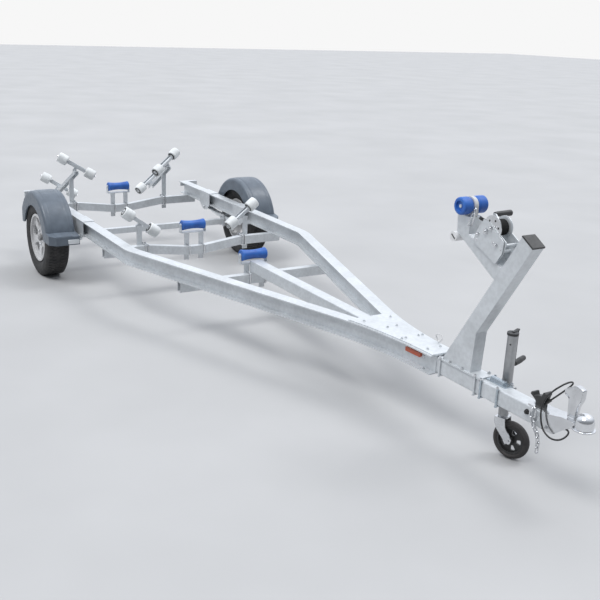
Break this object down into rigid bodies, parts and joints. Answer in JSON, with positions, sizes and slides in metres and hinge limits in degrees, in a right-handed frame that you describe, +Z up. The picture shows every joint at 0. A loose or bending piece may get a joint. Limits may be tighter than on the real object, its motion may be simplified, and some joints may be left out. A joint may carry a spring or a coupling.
{
  "type": "boat trailer",
  "caption": "Single-axle boat trailer with a bent I-beam frame, keel rollers, rocking cradles, leaning winch post, ball coupling and jockey wheel.",
  "frame": {"origin": "on the floor, under the middle of the trailer's length and width", "axes": "+X forward to the coupling, +Y to the trailer's left, +Z up"},
  "size_m": [5.9321, 1.992, 1.237],
  "materials": {
    "galvanised_steel": "hot-dip galvanised, dull with bright spangle",
    "bright_zinc": "bright zinc",
    "blue_zinc": "blue passivated zinc plate",
    "silver_paint": "silver wheel paint",
    "hub_iron": "grey cast hub with a pressed cap",
    "road_tyre": "worn black tyre",
    "guard_plastic": "slate grey moulded plastic",
    "blue_roller": "moulded blue rubber",
    "pale_roller": "pale grey moulded rollers",
    "white_nylon": "white nylon",
    "white_webbing": "white woven webbing",
    "black_webbing": "black woven webbing",
    "black_plastic": "black moulded plastic",
    "black_cable": "black flexible sheath",
    "jockey_rubber": "solid black rubber",
    "clear_lens": "clear lamp lens",
    "amber_lens": "amber lamp lens"
  },
  "bodies": {
    "root": {"rail_left": "galvanised_steel", "rail_right": "galvanised_steel", "drawbar": "galvanised_steel", "nose_plate": "galvanised_steel", "cross_members": "galvanised_steel", "cross_nose": "galvanised_steel", "axle": "galvanised_steel", "leaf_springs": "galvanised_steel", "spring_clamps": "galvanised_steel", "spring_hangers": "galvanised_steel", "keel_brackets": "galvanised_steel", "twin_channels": "galvanised_steel", "cradles_front": "galvanised_steel", "cradles_rear": "galvanised_steel", "light_brackets": "galvanised_steel", "winch_post": "galvanised_steel", "bow_arm": "galvanised_steel", "winch_frame": "galvanised_steel", "winch_drum": "galvanised_steel", "winch_handle": "galvanised_steel", "coupling": "bright_zinc", "coupling_lever": "bright_zinc", "safety_chain": "bright_zinc", "jockey_bracket": "blue_zinc", "guard_stays": "galvanised_steel", "mudguard_left": "guard_plastic", "mudguard_right": "guard_plastic", "bow_roller": "blue_roller", "bow_keeper": "white_nylon", "bow_strap": "white_webbing", "drum_strap": "black_webbing", "post_cap": "black_plastic", "winch_grip": "black_plastic", "plug_holder": "black_plastic", "trailer_plug": "black_plastic", "trailer_cable": "black_cable", "guard_lamps": "clear_lens", "side_lamps": "amber_lens"},
    "wheel_left": {"hub_left": "hub_iron", "rim_left": "silver_paint", "tyre_left": "road_tyre"},
    "wheel_right": {"hub_right": "hub_iron", "rim_right": "silver_paint", "tyre_right": "road_tyre"},
    "keel_rear": {"keel_roller_rear": "blue_roller"},
    "keel_middle": {"keel_roller_middle": "blue_roller"},
    "keel_nose": {"keel_roller_nose": "blue_roller"},
    "pads_front_left": {"rollers_front_left": "pale_roller"},
    "pads_front_right": {"rollers_front_right": "pale_roller"},
    "pads_rear_upper_left": {"rollers_rear_upper_left": "pale_roller"},
    "pads_rear_upper_right": {"rollers_rear_upper_right": "pale_roller"},
    "pads_rear_lower_left": {"rollers_rear_lower_left": "pale_roller"},
    "pads_rear_lower_right": {"rollers_rear_lower_right": "pale_roller"},
    "jockey_swing_arm": {"jockey_tube": "bright_zinc", "jockey_crank": "black_plastic"},
    "jockey_slide": {"jockey_leg": "bright_zinc"},
    "jockey_caster": {"jockey_fork": "bright_zinc"},
    "jockey_wheel": {"jockey_rim": "black_plastic", "jockey_tyre": "jockey_rubber"}
  },
  "joints": [
    {"name": "wheel_spin_left", "type": "hinge", "parent": "root", "child": "wheel_left", "pos_m": [-1.771, 0.887, 0.3], "axis": [0, 1, 0], "continuous": true},
    {"name": "wheel_spin_right", "type": "hinge", "parent": "root", "child": "wheel_right", "pos_m": [-1.771, -0.887, 0.3], "axis": [0, 1, 0], "continuous": true},
    {"name": "keel_turn_rear", "type": "hinge", "parent": "root", "child": "keel_rear", "pos_m": [-2.54849, 0, 0.52333], "axis": [0, 1, 0], "continuous": true},
    {"name": "keel_turn_middle", "type": "hinge", "parent": "root", "child": "keel_middle", "pos_m": [-0.9639, 0, 0.48714], "axis": [0, 1, 0], "continuous": true},
    {"name": "keel_turn_nose", "type": "hinge", "parent": "root", "child": "keel_nose", "pos_m": [-0.00197, 0, 0.47399], "axis": [0, 1, 0], "continuous": true},
    {"name": "pads_turn_front_left", "type": "hinge", "parent": "root", "child": "pads_front_left", "pos_m": [-0.96133, 0.423, 0.5386], "axis": [-0.0892, 0.8175, 0.569], "continuous": true},
    {"name": "pads_turn_front_right", "type": "hinge", "parent": "root", "child": "pads_front_right", "pos_m": [-0.96133, -0.423, 0.5386], "axis": [-0.0892, -0.8175, 0.569], "continuous": true},
    {"name": "pads_turn_rear_upper_left", "type": "hinge", "parent": "root", "child": "pads_rear_upper_left", "pos_m": [-2.42443, 0.417, 0.73978], "axis": [-0.3834, 0.7869, 0.4834], "continuous": true},
    {"name": "pads_turn_rear_upper_right", "type": "hinge", "parent": "root", "child": "pads_rear_upper_right", "pos_m": [-2.42443, -0.417, 0.73978], "axis": [-0.3834, -0.7869, 0.4834], "continuous": true},
    {"name": "pads_turn_rear_lower_left", "type": "hinge", "parent": "root", "child": "pads_rear_lower_left", "pos_m": [-2.87501, 0.4395, 0.50216], "axis": [-0.3023, 0.8052, 0.5102], "continuous": true},
    {"name": "pads_turn_rear_lower_right", "type": "hinge", "parent": "root", "child": "pads_rear_lower_right", "pos_m": [-2.87501, -0.4395, 0.50216], "axis": [-0.3023, -0.8052, 0.5102], "continuous": true},
    {"name": "jockey_swing", "type": "hinge", "parent": "root", "child": "jockey_swing_arm", "pos_m": [2.36386, 0.088, 0.34542], "axis": [0, -1, 0], "range_deg": [0, 90]},
    {"name": "jockey_wind", "type": "slide", "parent": "jockey_swing_arm", "child": "jockey_slide", "axis": [0.0209, 0, 0.9998], "range_m": [-0.2, 0]},
    {"name": "jockey_swivel", "type": "hinge", "parent": "jockey_slide", "child": "jockey_caster", "pos_m": [2.36084, 0.088, 0.20115], "axis": [0.0209, 0, 0.9998], "continuous": true},
    {"name": "jockey_roll", "type": "hinge", "parent": "jockey_caster", "child": "jockey_wheel", "pos_m": [2.41477, 0.10484, 0.096], "axis": [-0.2873, 0.9578, 0.006], "continuous": true}
  ]
}
